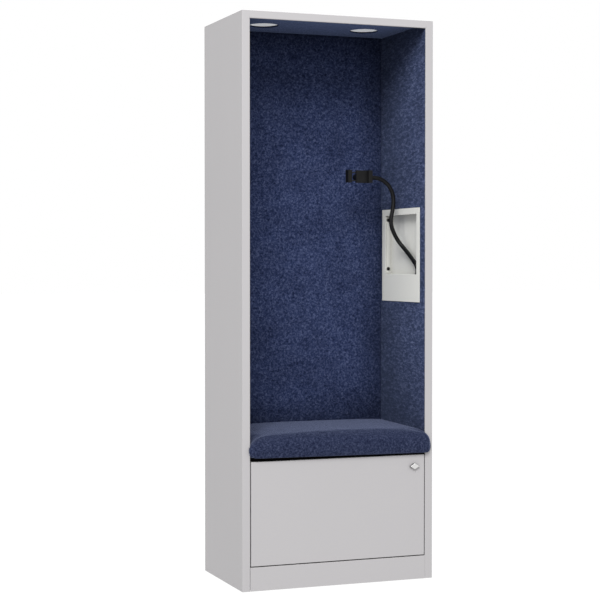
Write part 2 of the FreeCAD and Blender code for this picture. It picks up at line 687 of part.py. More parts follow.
for side, s in (("left", -1), ("right", 1)):
    node(side + "_slide_outer", channel(s, inner - 2.0, inner - 3.2, inner - 13, sh))
    node(side + "_slide_middle", channel(s, inner - 5.4, inner - 6.6, inner - 13, sh - 2.2))
    node(side + "_slide_inner", channel(s, bh + 0.1, bh + 1.3, inner - 7.5, sh - 6.5))
    node(side + "_slide_bracket", channel(s, inner - 1.9, inner - 0.4, half - t - 0.2, d("slide_half") + 27.5))

# lock: sleeve fixed in the drawer front, knob with its spindle, cam behind
sp = d("spindle_radius")
sleeve = cut(fuse(rod("y", d("lock_radius"), lkx, front - 1, lkz, 23),
                  rod("y", 12.5, lkx, front - 2.2, lkz, 2.1)),
             rod("y", sp + d("spindle_play"), lkx, front - 10, lkz, 50))
node("lock_housing", sleeve)
kw, kh = d("knob_half_width"), d("knob_half_height")
grip = section("y", front - 11, 7.6, [
    (lkx - kw, lkz - 1.4), (lkx - 2.2, lkz - kh), (lkx + 2.2, lkz - kh), (lkx + kw, lkz - 1.4),
    (lkx + kw, lkz + 1.4), (lkx + 2.2, lkz + kh), (lkx - 2.2, lkz + kh), (lkx - kw, lkz + 1.4)])
soften(grip, 1.2, lambda e: abs(mid(e).y + 7.6) < 0.01)
node("lock_knob", fuse(grip, rod("y", sp, lkx, front - 5, lkz, 29.5)))
cy0, cy1 = front + 22.2, front + 24.4
cam = fuse(box(lkx - 7, lkx + 7, cy0, cy1, lkz - d("cam_reach"), lkz), rod("y", 9, lkx, cy0, lkz, 2.2))
node("lock_cam", cut(cam, rod("y", sp + 0.02, lkx, cy0 - 5, lkz, 20)))

# ------------------------------------------------------------------ checks and files
doc.recompute()
bad = []
for o in doc.Objects:
    if "Invalid" in o.State or "Error" in o.State:
        bad.append("%s %s" % (o.Name, o.State))
for o in nodes:
    shape = o.Shape
    if shape.isNull() or not shape.isValid() or not shape.Solids:
        bad.append("%s has no valid shape" % o.Label)
if bad:
    raise RuntimeError("; ".join(bad))
labels = [o.Label for o in nodes]
if len(set(labels)) != len(labels) or len(labels) > 60:
    raise RuntimeError("names clash or too many pieces: %d" % len(labels))

for name, pts, radii, r in (("supply", supply, [12, 45], 3),):
    want = run_length(pts, radii) * math.pi * r * r
    got = [o for o in nodes if o.Label == "supply_cable"][0].Shape.Volume
    print("%s cable: length %.1f mm, radii %s, volume %.0f of %.0f" % (
        name, run_length(pts, radii), radii, got, want))
for label, p in (("pivot a", pivot_a), ("pivot b", pivot_b), ("pivot c", pivot_c)):
    print(label, [round(q, 3) for q in p])

os.makedirs("parts", exist_ok=True)
for o in nodes:
    o.Shape.exportStep("parts/%s.step" % o.Label)
everything = Part.makeCompound([o.Shape for o in nodes])
print(len(nodes), "pieces", everything.BoundBox)
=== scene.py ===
"""Looks of the acoustic office pod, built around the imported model, in metres and in the row frame."""

import json
import math

import bmesh
import bpy
import numpy as np
from mathutils import Matrix, Vector, noise


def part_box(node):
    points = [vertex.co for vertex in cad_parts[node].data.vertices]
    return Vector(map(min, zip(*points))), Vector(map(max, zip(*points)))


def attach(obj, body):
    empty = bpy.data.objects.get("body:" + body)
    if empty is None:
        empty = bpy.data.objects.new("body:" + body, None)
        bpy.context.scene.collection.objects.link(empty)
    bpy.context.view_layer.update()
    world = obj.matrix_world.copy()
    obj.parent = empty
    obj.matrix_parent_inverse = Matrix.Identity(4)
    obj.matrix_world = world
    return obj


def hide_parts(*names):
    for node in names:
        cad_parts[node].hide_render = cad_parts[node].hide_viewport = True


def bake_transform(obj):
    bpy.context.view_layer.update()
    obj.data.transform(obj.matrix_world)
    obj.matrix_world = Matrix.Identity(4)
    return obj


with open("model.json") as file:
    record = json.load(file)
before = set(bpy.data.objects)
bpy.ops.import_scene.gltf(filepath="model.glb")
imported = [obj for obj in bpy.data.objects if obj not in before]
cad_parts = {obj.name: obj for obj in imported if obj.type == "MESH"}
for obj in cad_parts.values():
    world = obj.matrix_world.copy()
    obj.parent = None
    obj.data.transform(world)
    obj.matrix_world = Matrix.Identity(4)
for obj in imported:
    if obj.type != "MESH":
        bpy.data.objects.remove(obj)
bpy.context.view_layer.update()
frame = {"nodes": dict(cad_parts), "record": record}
NODES = frame["nodes"]
SCENE = bpy.context.scene
MM = 0.001


# ---------------------------------------------------------------- finishes
class Finish:
    """A node material on one Principled shader, read in the row frame (metres)."""

    def __init__(self, name, **sockets):
        self.mat = bpy.data.materials.new(name)
        self.mat.use_nodes = True
        self.tree = self.mat.node_tree
        self.bsdf = self.tree.nodes["Principled BSDF"]
        self.place = self.tree.nodes.new("ShaderNodeTexCoord").outputs["Object"]
        self.normal = None
        for key, value in sockets.items():
            self.set(key, value)

    def set(self, socket, value):
        self.bsdf.inputs[socket.replace("_", " ")].default_value = value

    def link(self, a, b):
        self.tree.links.new(a, b)

    def drive(self, socket, output):
        self.link(output, self.bsdf.inputs[socket])

    def coords(self, scale=(1, 1, 1), turn=(0, 0, 0), shift=(0, 0, 0)):
        n = self.tree.nodes.new("ShaderNodeMapping")
        self.link(self.place, n.inputs["Vector"])
        n.inputs["Scale"].default_value = scale
        n.inputs["Rotation"].default_value = turn
        n.inputs["Location"].default_value = shift
        return n.outputs["Vector"]

    def noise(self, scale, detail=2.0, rough=0.5, vec=None, bent=0.0):
        n = self.tree.nodes.new("ShaderNodeTexNoise")
        self.link(vec or self.place, n.inputs["Vector"])
        n.inputs["Scale"].default_value = scale
        n.inputs["Detail"].default_value = detail
        n.inputs["Roughness"].default_value = rough
        n.inputs["Distortion"].default_value = bent
        return n.outputs[0]

    def cells(self, scale, vec=None, feature="F1", out="Distance"):
        n = self.tree.nodes.new("ShaderNodeTexVoronoi")
        n.feature = feature
        self.link(vec or self.place, n.inputs["Vector"])
        n.inputs["Scale"].default_value = scale
        return n.outputs[out]

    def wave(self, scale, axis="X", vec=None, bent=0.0, detail=0.0, kind="BANDS"):
        n = self.tree.nodes.new("ShaderNodeTexWave")
        n.wave_type = kind
        if kind == "BANDS":
            n.bands_direction = axis
        else:
            n.rings_direction = axis
        self.link(vec or self.place, n.inputs["Vector"])
        n.inputs["Scale"].default_value = scale
        n.inputs["Distortion"].default_value = bent
        n.inputs["Detail"].default_value = detail
        return n.outputs[1]

    def ramp(self, fac, *stops, ease="LINEAR"):
        n = self.tree.nodes.new("ShaderNodeValToRGB")
        n.color_ramp.interpolation = ease
        e = n.color_ramp.elements
        while len(e) < len(stops):
            e.new(0.5)
        for slot, (at, rgb) in zip(e, stops):
            slot.position = at
            slot.color = (*rgb, 1.0)
        self.link(fac, n.inputs["Fac"])
        return n.outputs["Color"]

    def span(self, fac, lo, hi, a=0.3, b=0.7):
        n = self.tree.nodes.new("ShaderNodeMapRange")
        self.link(fac, n.inputs["Value"])
        for key, value in (("From Min", a), ("From Max", b), ("To Min", lo), ("To Max", hi)):
            n.inputs[key].default_value = value
        return n.outputs["Result"]

    def mix(self, a, b, fac, mode="MIX"):
        n = self.tree.nodes.new("ShaderNodeMix")
        n.data_type = "RGBA"
        n.blend_type = mode
        for socket, value in ((n.inputs[0], fac), (n.inputs[6], a), (n.inputs[7], b)):
            if isinstance(value, bpy.types.NodeSocket):
                self.link(value, socket)
            elif isinstance(value, (int, float)):
                socket.default_value = value
            else:
                socket.default_value = (*value, 1.0)
        return n.outputs[2]

    def math(self, how, a, b=None, c=None):
        n = self.tree.nodes.new("ShaderNodeMath")
        n.operation = how
        for socket, value in zip(n.inputs, (a, b, c)):
            if isinstance(value, bpy.types.NodeSocket):
                self.link(value, socket)
            elif value is not None:
                socket.default_value = value
        return n.outputs[0]

    def axes(self, vec=None):
        n = self.tree.nodes.new("ShaderNodeSeparateXYZ")
        self.link(vec or self.place, n.inputs[0])
        return n.outputs[0], n.outputs[1], n.outputs[2]

    def openness(self, reach):
        """How open the surface's surroundings are within a distance (m): 1 in the open, less in a corner."""
        n = self.tree.nodes.new("ShaderNodeAmbientOcclusion")
        n.samples = 6
        n.inputs["Distance"].default_value = reach
        return n.outputs["AO"]

    def facing(self, x, y, z):
        """How squarely the surface faces a direction of the row frame, 0 to 1."""
        n = self.tree.nodes.new("ShaderNodeVectorMath")
        n.operation = "DOT_PRODUCT"
        self.link(self.tree.nodes.new("ShaderNodeNewGeometry").outputs["True Normal"], n.inputs[0])
        n.inputs[1].default_value = (x, y, z)
        return self.math("MAXIMUM", n.outputs["Value"], 0.0)

    def bump(self, height, depth, strength=1.0):
        n = self.tree.nodes.new("ShaderNodeBump")
        n.inputs["Strength"].default_value = strength
        n.inputs["Distance"].default_value = depth
        self.link(height, n.inputs["Height"])
        if self.normal is not None:
            self.link(self.normal, n.inputs["Normal"])
        self.normal = n.outputs["Normal"]
        self.drive("Normal", self.normal)


def tint(rgb, k):
    return tuple(min(1.0, c * k) for c in rgb)


def powder_coat(name, rgb, rough=0.46, peel=1.0, level=0.32, painted_shade=None):
    """Powder paint on sheet steel: faint orange peel, fine speckle, slow drift in tone. The optional pair of
    factors is painted shade for a folded box: it darkens the faces turned to the front (its end wall) and its corners."""
    f = Finish(name, Metallic=0.0, IOR=1.46, Specular_IOR_Level=level)
    drift = f.noise(1.7, 3.0, 0.55)
    grain = f.noise(1400.0, 2.0, 0.6)
    wide = f.ramp(drift, (0.30, tint(rgb, 0.985)), (0.70, tint(rgb, 1.015)))
    coat = f.mix(wide, f.ramp(grain, (0.35, tint(rgb, 0.94)), (0.65, tint(rgb, 1.06))), 0.35)
    if painted_shade:
        # painted shade: the faces turned to the front, and the corners the AO node finds closed in, are darkened in
        # the colour
        wall = f.ramp(f.facing(0, -1, 0), (0.0, (1, 1, 1)), (0.9, (painted_shade[0],) * 3))
        edge = f.ramp(f.openness(0.04), (0.35, (painted_shade[1],) * 3), (0.95, (1, 1, 1)))
        coat = f.mix(f.mix(coat, wall, 1.0, "MULTIPLY"), edge, 1.0, "MULTIPLY")
    f.drive("Base Color", coat)
    f.drive("Roughness", f.span(f.noise(420.0, 3.0, 0.6), rough - 0.05, rough + 0.05))
    f.bump(f.noise(520.0, 2.0, 0.45), 0.00010 * peel, 0.55)
    f.bump(grain, 0.00002, 0.5)
    return f.mat


def felt(name, dark, mid, light, sheen, depth=0.0024, blotch=118.0, lay=1.0, reach=0.115, corner=0.14):
    """Needled felt: two shades of fibre in clumps, stray pale fibres, and painted shade that darkens it in corners.
    lay below 1 draws the clumps out along the depth, the way the felt was carded; reach is how far the tone
    has to stray to reach the pale or the dark fibre; corner is how far (m) the painted corner shade reaches."""
    f = Finish(name, Roughness=0.96, IOR=1.4, Specular_IOR_Level=0.0, Sheen_Weight=sheen, Sheen_Roughness=0.5,
               Sheen_Tint=(0.45, 0.58, 1.0, 1.0))
    clump = f.noise(blotch, 4.0, 0.68, vec=f.coords((1, lay, 1)), bent=0.6)
    fibre_a = f.noise(1.0, 3.0, 0.7, vec=f.coords((900, 260 * lay, 420), (0.5, 0.9, 0.2)), bent=1.2)
    fibre_b = f.noise(1.0, 3.0, 0.7, vec=f.coords((300, 820 * lay, 700), (1.1, 0.3, 0.8)), bent=1.2)
    fibres = f.math("ADD", f.math("MULTIPLY", fibre_a, 0.5), f.math("MULTIPLY", fibre_b, 0.5))
    tone = f.math("ADD", f.math("MULTIPLY", clump, 0.62), f.math("MULTIPLY", fibres, 0.38))
    body = f.ramp(tone, (0.5 - reach, dark), (0.50, mid), (0.5 + reach, light))
    slow = f.noise(7.5, 3.0, 0.6)
    body = f.mix(body, f.ramp(slow, (0.32, (0.78, 0.78, 0.79)), (0.68, (1.10, 1.10, 1.09))), 1.0, "MULTIPLY")
    stray = f.ramp(f.cells(640.0, vec=f.coords((1.0, 0.35, 0.6), (0.4, 0.2, 0.9))),
                   (0.05, (1, 1, 1)), (0.14, (0, 0, 0)))
    body = f.mix(body, tint(light, 1.55), f.math("MULTIPLY", stray, 0.35))
    # painted shade: the felt's colour is darkened where the AO node finds the surface closed in, in corners and
    # creases
    flat = f.span(f.openness(corner), 0.42, 1.0, 0.42, 1.0)
    f.drive("Base Color", f.mix(body, flat, 1.0, "MULTIPLY"))
    f.bump(clump, depth, 0.55)
    f.bump(fibres, depth * 0.5, 0.6)
    return f.mat


def woven(name, dark, mid, light, sheen):
    """Heathered wool upholstery: plain weave of mixed yarns under a soft sheen."""
    f = Finish(name, Roughness=0.93, IOR=1.4, Specular_IOR_Level=0.0, Sheen_Weight=sheen, Sheen_Roughness=0.42,
               Sheen_Tint=(0.56, 0.65, 1.0, 1.0))
    x, y, z = f.axes()
    pitch = 2 * math.pi / 0.0016
    warp = f.math("SINE", f.math("MULTIPLY", f.math("ADD", x, f.math("MULTIPLY", y, 0.31)), pitch))
    weft = f.math("SINE", f.math("MULTIPLY", f.math("ADD", z, y), pitch))
    weave = f.math("MULTIPLY_ADD", f.math("MULTIPLY", warp, weft), 0.5, 0.5)
    along = f.noise(1.0, 3.0, 0.65, vec=f.coords((95, 620, 620)))
    across = f.noise(1.0, 3.0, 0.65, vec=f.coords((620, 120, 95)))
    fluff = f.noise(230.0, 3.0, 0.7)
    heather = f.noise(120.0, 2.0, 0.6)
    yarn = f.math("ADD", f.math("MULTIPLY", along, 0.26), f.math("MULTIPLY", across, 0.24))
    blend = f.math("ADD", f.math("MULTIPLY", fluff, 0.24), f.math("MULTIPLY", heather, 0.26))
    tone = f.math("ADD", yarn, blend)
    body = f.ramp(tone, (0.41, dark), (0.50, mid), (0.59, light))
    f.drive("Base Color", f.mix(body, f.ramp(weave, (0.0, (0.72, 0.72, 0.74)), (0.6, (1, 1, 1))), 1.0, "MULTIPLY"))
    f.bump(weave, 0.00035, 0.5)
    f.bump(tone, 0.0006, 0.5)
    return f.mat


def plastic(name, rgb, rough, grain=900.0, depth=0.00006, level=0.4):
    """Moulded plastic with a fine spark-eroded texture."""
    f = Finish(name, IOR=1.49, Specular_IOR_Level=level)
    speck = f.noise(grain, 3.0, 0.6)
    f.drive("Base Color", f.ramp(f.noise(38.0, 3.0, 0.6), (0.3, tint(rgb, 0.86)), (0.7, tint(rgb, 1.14))))
    f.drive("Roughness", f.span(speck, rough - 0.07, rough + 0.07))
    f.bump(speck, depth, 0.6)
    return f.mat


def rubber(name, rgb, rough=0.62):
    f = Finish(name, IOR=1.5, Specular_IOR_Level=0.13)
    bloom = f.noise(60.0, 4.0, 0.65)
    f.drive("Base Color", f.ramp(bloom, (0.3, tint(rgb, 0.8)), (0.7, tint(rgb, 1.3))))
    f.drive("Roughness", f.span(bloom, rough - 0.08, rough + 0.08))
    f.bump(f.noise(1700.0, 2.0, 0.5), 0.00004, 0.6)
    return f.mat


def zinc(name, rgb=(0.56, 0.58, 0.60)):
    """Galvanised sheet: spangle, dull sheen, drawing marks along the depth."""
    f = Finish(name, Metallic=1.0)
    flake = f.cells(95.0, vec=f.coords((1, 1, 1), (0.3, 0.2, 0.5)), out="Color")
    lines = f.noise(1.0, 3.0, 0.6, vec=f.coords((900, 12, 900)))
    base = f.ramp(flake, (0.15, tint(rgb, 0.84)), (0.85, tint(rgb, 1.12)))
    f.drive("Base Color", f.mix(base, f.ramp(lines, (0.3, tint(rgb, 0.9)), (0.7, tint(rgb, 1.05))), 0.4))
    f.drive("Roughness", f.span(flake, 0.34, 0.5, 0.1, 0.9))
    f.bump(lines, 0.00002, 0.4)
    return f.mat


def brushed(name, rgb, rough, grain):
    """Satin metal with a brushed grain along one direction."""
    f = Finish(name, Metallic=1.0)
    lines = f.noise(1.0, 4.0, 0.65, vec=f.coords(grain))
    f.drive("Base Color", f.ramp(lines, (0.3, tint(rgb, 0.9)), (0.7, tint(rgb, 1.06))))
    f.drive("Roughness", f.span(lines, rough - 0.06, rough + 0.08))
    f.bump(lines, 0.00003, 0.5)
    return f.mat


def shade_darkened_ply(name):
    """Plywood whose near-black colour is painted shade for the gap under the seat: grain showing through, plies on the
    edges.
    """
    f = Finish(name, IOR=1.45, Specular_IOR_Level=0.12)
    grain = f.noise(1.0, 5.0, 0.62, vec=f.coords((9, 150, 700)), bent=0.8)
    _, _, z = f.axes()
    ply = f.math("SINE", f.math("MULTIPLY", z, 2 * math.pi / 0.0026))
    face = f.ramp(grain, (0.30, (0.004, 0.004, 0.004)), (0.52, (0.008, 0.007, 0.007)), (0.72, (0.014, 0.012, 0.011)))
    f.drive("Base Color", f.mix(face, f.ramp(ply, (0.2, (0.72, 0.70, 0.68)), (0.8, (1, 1, 1))), 0.35, "MULTIPLY"))
    f.drive("Roughness", f.span(grain, 0.60, 0.76))
    f.bump(grain, 0.00015, 0.5)
    return f.mat


def wool_fill(name):
    f = Finish(name, Roughness=1.0, Specular_IOR_Level=0.1, Sheen_Weight=0.3, Sheen_Roughness=0.6)
    strands = f.noise(1.0, 5.0, 0.75, vec=f.coords((150, 420, 60), (0.2, 0.4, 0.1)), bent=2.0)
    f.drive("Base Color", f.ramp(strands, (0.3, (0.30, 0.30, 0.29)), (0.7, (0.58, 0.58, 0.55))))
    f.bump(strands, 0.004, 0.7)
    return f.mat


def lamp_cover(name):
    """Opal diffuser, lit from behind, its glow a touch uneven in tint."""
    f = Finish(name, IOR=1.49, Roughness=0.35)
    cells = f.cells(420.0)
    f.drive("Base Color", f.ramp(cells, (0.0, (0.80, 0.80, 0.79)), (0.8, (0.88, 0.88, 0.87))))
    f.drive("Emission Color", f.ramp(f.noise(30.0, 2.0, 0.5), (0.3, (0.90, 0.93, 0.98)), (0.7, (0.94, 0.97, 1.0))))
    f.set("Emission Strength", 0.29)
    f.bump(cells, 0.0001, 0.4)
    return f.mat


GREY = (0.312, 0.3035, 0.310)
NAVY = ((0.0042, 0.0070, 0.0224), (0.0189, 0.0273, 0.0686), (0.0616, 0.0756, 0.1434))
# painted light: the side walls' felt colours are the wall felt's, lightened and with more contrast, for the light they
# catch
SIDE_LIT = ((0.0055, 0.0090, 0.0268), (0.0252, 0.0352, 0.0826), (0.1070, 0.1280, 0.2270))

FINISH = {
    "case_steel": powder_coat("case_paint", GREY),
    # painted shade: the tray's recess gets its end wall and corners darkened in the paint
    "tray_white": powder_coat("tray_paint", (0.735, 0.735, 0.694), rough=0.42, peel=0.7, painted_shade=(0.58, 0.74)),
    # painted shade: the cover strip has the tray's paint darkened, for the shade on the strip
    "strip_shaded_grey": powder_coat("strip_shaded_paint", (0.425, 0.425, 0.404), rough=0.46, peel=0.7),
    # painted shade: the seat deck is near black to stand for the shade in the gap under the seat
    "deck_shade_black": powder_coat("deck_shade_paint", (0.0045, 0.0045, 0.005), rough=0.6, level=0.06),
    "bezel_white": plastic("bezel_plastic", (0.74, 0.74, 0.72), 0.38),
    "diffuser_white": lamp_cover("opal_cover"),
    "zinc_steel": zinc("galvanised_sheet"),
    "housing_aluminium": brushed("cast_aluminium", (0.62, 0.63, 0.64), 0.42, (300, 300, 300)),
    "lock_metal": brushed("satin_nickel", (0.66, 0.655, 0.65), 0.34, (1600, 60, 240)),
    "knob_dark": brushed("black_nickel", (0.15, 0.15, 0.155), 0.36, (240, 900, 900)),
    "rod_dark": brushed("blackened_rod", (0.030, 0.030, 0.033), 0.40, (60, 900, 900)),
    "wall_felt": felt("wall_felt", *NAVY, sheen=0.165),
    # painted light and shade: a lightened copy of the wall felt, with painted shade reaching 0.34 m so the walls
    # darken from front to back
    "side_felt_lit": felt("side_felt_lit", *SIDE_LIT, sheen=0.15, lay=0.36, reach=0.115, corner=0.34),
    # painted light: the ceiling's felt is the wall felt lightened by 13 %, for the light it catches
    "ceiling_felt": felt("ceiling_felt", *(tint(c, 1.13) for c in NAVY), sheen=0.32),
    "seat_fabric": woven("seat_wool", (0.005, 0.007, 0.0193), (0.0147, 0.0195, 0.044), (0.0396, 0.0482, 0.0868), 0.35),
    # painted shade: the board's plywood is near black for the shade in the gap under the seat
    "plywood": shade_darkened_ply("shade_darkened_plywood"),
    "filling": wool_fill("mineral_wool"),
    "driver_plastic": plastic("driver_case", (0.60, 0.60, 0.58), 0.5),
    "black_plastic": plastic("black_plastic", (0.0055, 0.0055, 0.006), 0.48, level=0.12),
    "black_rubber": rubber("black_rubber", (0.007, 0.007, 0.0075)),
    "foot_plastic": plastic("foot_plastic", (0.016, 0.016, 0.017), 0.55),
    "cable_black": rubber("cable_sheath", (0.014, 0.014, 0.015), 0.5),
    "neck_sleeve": rubber("neck_sleeve", (0.0058, 0.0058, 0.0064), 0.44),
}
SLOT_OF = {s["node"]: s["material_slot"] for s in frame["record"]["subparts"]}
SPECIAL = {"cable_cover": "strip_shaded_grey", "seat_deck": "deck_shade_black", "jaw_rods": "rod_dark"}
for name, obj in NODES.items():
    obj.data.materials.clear()
    obj.data.materials.append(FINISH[SPECIAL.get(name, SLOT_OF[name])])


# ---------------------------------------------------------------- mesh helpers
def new_object(name, verts, faces, finish):
    mesh = bpy.data.meshes.new(name)
    mesh.from_pydata([tuple(v) for v in verts], [], faces)
    mesh.update()
    mesh.materials.append(FINISH[finish])
    obj = bpy.data.objects.new(name, mesh)
    SCENE.collection.objects.link(obj)
    return obj


def shade_smooth(obj):
    obj.data.polygons.foreach_set("use_smooth", [True] * len(obj.data.polygons))
    obj.data.update()


def points_of(mesh):
    co = np.empty(len(mesh.vertices) * 3)
    mesh.vertices.foreach_get("co", co)
    return co.reshape(-1, 3)


def put_points(mesh, co):
    mesh.vertices.foreach_set("co", np.ascontiguousarray(co, dtype=np.float64).ravel())
    mesh.update()


# ---------------------------------------------------------------- felt lining
def felt_panel(name, node, axis, face, holes=(), rounds=(), step=8 * MM, relief=0.22 * MM, seed=0.0, look="wall_felt"):
    """A lining panel in its node's place: its room face has the shallow relief of needled felt and
    soft edges. axis is the panel's normal, face the sign of its room side, holes are boxes in the two
    other axes, (lo, hi) each, and rounds are round holes, (centre, centre, radius)."""
    lo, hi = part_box(node)
    u, v = [a for a in range(3) if a != axis]

    def lines(a, extra):
        n = max(2, round((hi[a] - lo[a]) / step))
        base = [lo[a] + (hi[a] - lo[a]) * i / n for i in range(n + 1)]
        base += [lo[a] + 1.2 * MM, lo[a] + 3 * MM, hi[a] - 1.2 * MM, hi[a] - 3 * MM]
        keep = [b for b in base if all(abs(b - e) > 2.5 * MM for e in extra)]
        return sorted(set(keep + list(extra)))

    us = lines(u, [h[0][0] for h in holes] + [h[1][0] for h in holes])
    vs = lines(v, [h[0][1] for h in holes] + [h[1][1] for h in holes])
    front = hi[axis] if face > 0 else lo[axis]
    back = lo[axis] if face > 0 else hi[axis]

    def drop(p, edges):
        """How far a soft edge falls back from the face."""
        d = min(abs(p - e) for e in edges)
        r = 2.2 * MM
        return 0.0 if d >= r else r - math.sqrt(max(0.0, r * r - (r - d) ** 2))

    verts, index = [], {}

    def vert(i, j, side):
        key = (i, j, side)
        if key not in index:
            p = [0.0, 0.0, 0.0]
            p[u], p[v] = us[i], vs[j]
            cells = [open_at(a, b) for a in (i - 1, i) for b in (j - 1, j)]
            for a, b, r in rounds:  # the rim of a round hole lies on its circle
                far = math.hypot(us[i] - a, vs[j] - b)
                if abs(far - r) < 2 * step and any(cells) and not all(cells):
                    p[u], p[v] = a + (us[i] - a) * r / far, b + (vs[j] - b) * r / far
            if side:
                p[axis] = back
            else:
                fall = max(drop(us[i], (lo[u], hi[u])), drop(vs[j], (lo[v], hi[v])))
                q = Vector((us[i] * 90 + seed, vs[j] * 90, seed * 3.1))
                n = noise.noise(q) + 0.5 * noise.noise(q * 2.3)
                p[axis] = front - face * (fall + relief * (0.75 - 0.5 * n))
            index[key] = len(verts)
            verts.append(p)
        return index[key]

    def open_at(i, j):
        if i < 0 or j < 0 or i >= len(us) - 1 or j >= len(vs) - 1:
            return True
        cu, cv = (us[i] + us[i + 1]) / 2, (vs[j] + vs[j + 1]) / 2
        if any(math.hypot(cu - a, cv - b) < r for a, b, r in rounds):
            return True
        return any(h[0][0] < cu < h[1][0] and h[0][1] < cv < h[1][1] for h in holes)

    faces = []
    for i in range(len(us) - 1):
        for j in range(len(vs) - 1):
            if open_at(i, j):
                continue
            faces.append([vert(i, j, 0), vert(i + 1, j, 0), vert(i + 1, j + 1, 0), vert(i, j + 1, 0)])
            faces.append([vert(i, j, 1), vert(i, j + 1, 1), vert(i + 1, j + 1, 1), vert(i + 1, j, 1)])
            for di, dj, a, b in ((-1, 0, (0, 0), (0, 1)), (1, 0, (1, 1), (1, 0)), (0, -1, (1, 0), (0, 0)), (0, 1, (0, 1), (1, 1))):
                if open_at(i + di, j + dj):
                    p, q = (i + a[0], j + a[1]), (i + b[0], j + b[1])
                    faces.append([vert(*p, 0), vert(*q, 0), vert(*q, 1), vert(*p, 1)])
    obj = new_object(name, verts, faces, look)
    bm = bmesh.new()
    bm.from_mesh(obj.data)
    bmesh.ops.recalc_face_normals(bm, faces=bm.faces)
    bm.to_mesh(obj.data)
    bm.free()
    shade_smooth(obj)
    for e in obj.data.edges:
        e.use_edge_sharp = False
    obj.data.set_sharp_from_angle(angle=math.radians(40))
    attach(obj, "carcass")
    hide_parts(node)
    return obj


box_lo, box_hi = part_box("recess_box")
lamp_lo, lamp_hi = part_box("right_light_bezel")
lamp_y = (lamp_lo.y + lamp_hi.y) / 2
lamp_x = (lamp_lo.x + lamp_hi.x) / 2
lamp_r = (lamp_hi.x - lamp_lo.x) / 2 + 0.4 * MM
gap = 0.4 * MM
felt_panel("back_lining", "back_felt", 1, -1, seed=1.7)
felt_panel("left_lining", "left_felt", 0, 1, seed=5.3, look="side_felt_lit")
felt_panel("right_lining", "right_felt", 0, -1, seed=9.1, look="side_felt_lit",
           holes=[((box_lo.y - gap, box_lo.z - gap), (box_hi.y + gap, box_hi.z + gap))])
felt_panel("ceiling_lining", "ceiling_felt", 2, -1, seed=12.9, step=6 * MM, look="ceiling_felt",
           rounds=[(-lamp_x, lamp_y, lamp_r), (lamp_x, lamp_y, lamp_r)])


# ---------------------------------------------------------------- seat cushion
SEAT = {  # limits of the pad, in mm: what it rests on and lies against
    "side": 367.2, "left": 377.4, "right": 390.2, "front": -248.4, "flange": -225.2, "board_front": -218.6,
    "board_top": 520.3, "back": 204.6,
}


def hem_level(x):
    """Lower edge of the front roll, in mm: it hangs a little lower towards the right-hand end."""
    return 508.8 - 0.0094 * x


def ease(t):
    t = np.clip(t, 0, 1)
    return t * t * (3 - 2 * t)


def keep_clear(co):
    """Moves points of the pad (mm) out of the case, the lining and the board, the short way."""
    x, y, z = co[:, 0].copy(), co[:, 1].copy(), co[:, 2].copy()
    s = SEAT
    y = np.clip(y, s["front"], s["back"])
    proud = ease((s["flange"] - y) / 2.6)  # 0 between the walls, 1 in front of the flanges
    x = np.clip(x, -(s["side"] + (s["left"] - s["side"]) * proud), s["side"] + (s["right"] - s["side"]) * proud)
    z = np.maximum(z, hem_level(x))
    under = s["board_top"] - z
    behind = y - s["board_front"]
    hit = (under > 0) & (behind > 0)
    by_z = hit & (under <= behind)
    z = np.where(by_z, s["board_top"], z)
    y = np.where(hit & ~by_z, s["board_front"], y)
    return np.stack([x, y, z], 1)


def pad_section():
    """Section of the pad across its length, (y, z) in mm, as a closed line from the back of its underside
    forwards: the board's top, the lip in front of the board, the front roll, the crown, the back."""
    hem = 509.0
    line = []

    def arc(cy, cz, ry, rz, a0, a1, n):
        for k in range(n + 1):
            a = math.radians(a0 + (a1 - a0) * k / n)
            line.append((cy + ry * math.cos(a), cz + rz * math.sin(a)))

    for k in range(30):
        line.append((197.0 - (197.0 + 214.0) * k / 29, SEAT["board_top"]))
    line += [(-216.8, 520.1), (-218.4, 518.6), (-218.7, 516.0), (-218.8, 513.6)]
    arc(-222.0, hem + 3.2, 3.2, 3.2, 0, -90, 4)
    line += [(-226.0, hem), (-230.0, hem), (-234.0, hem)]
    arc(-238.4, hem + 5.4, 5.4, 5.4, -90, -172, 6)
    for k in range(1, 9):  # the front swells between its lower edge and the roll
        t = k / 9
        line.append((-244.2 - 2.6 * math.sin(math.pi * t) * (1 - 0.3 * t), hem + 7.0 + 36.0 * t))
    arc(-206.5, 553.5, 38.5, 36.5, 178, 92, 14)
    for k in range(1, 44):  # the crown rises towards the back
        t = k / 44
        line.append((-207.8 + 398.0 * t, 590.0 + 7.0 * math.sin(0.5 * math.pi * min(1.0, t / 0.62)) ** 1.15))
    arc(194.0, 588.0, 9.0, 9.0, 88, 2, 6)
    for k in range(1, 8):
        line.append((203.0, 588.0 - 58.0 * k / 8))
    arc(197.0, 526.3, 6.0, 6.0, 0, -84, 4)
    return np.array(line)


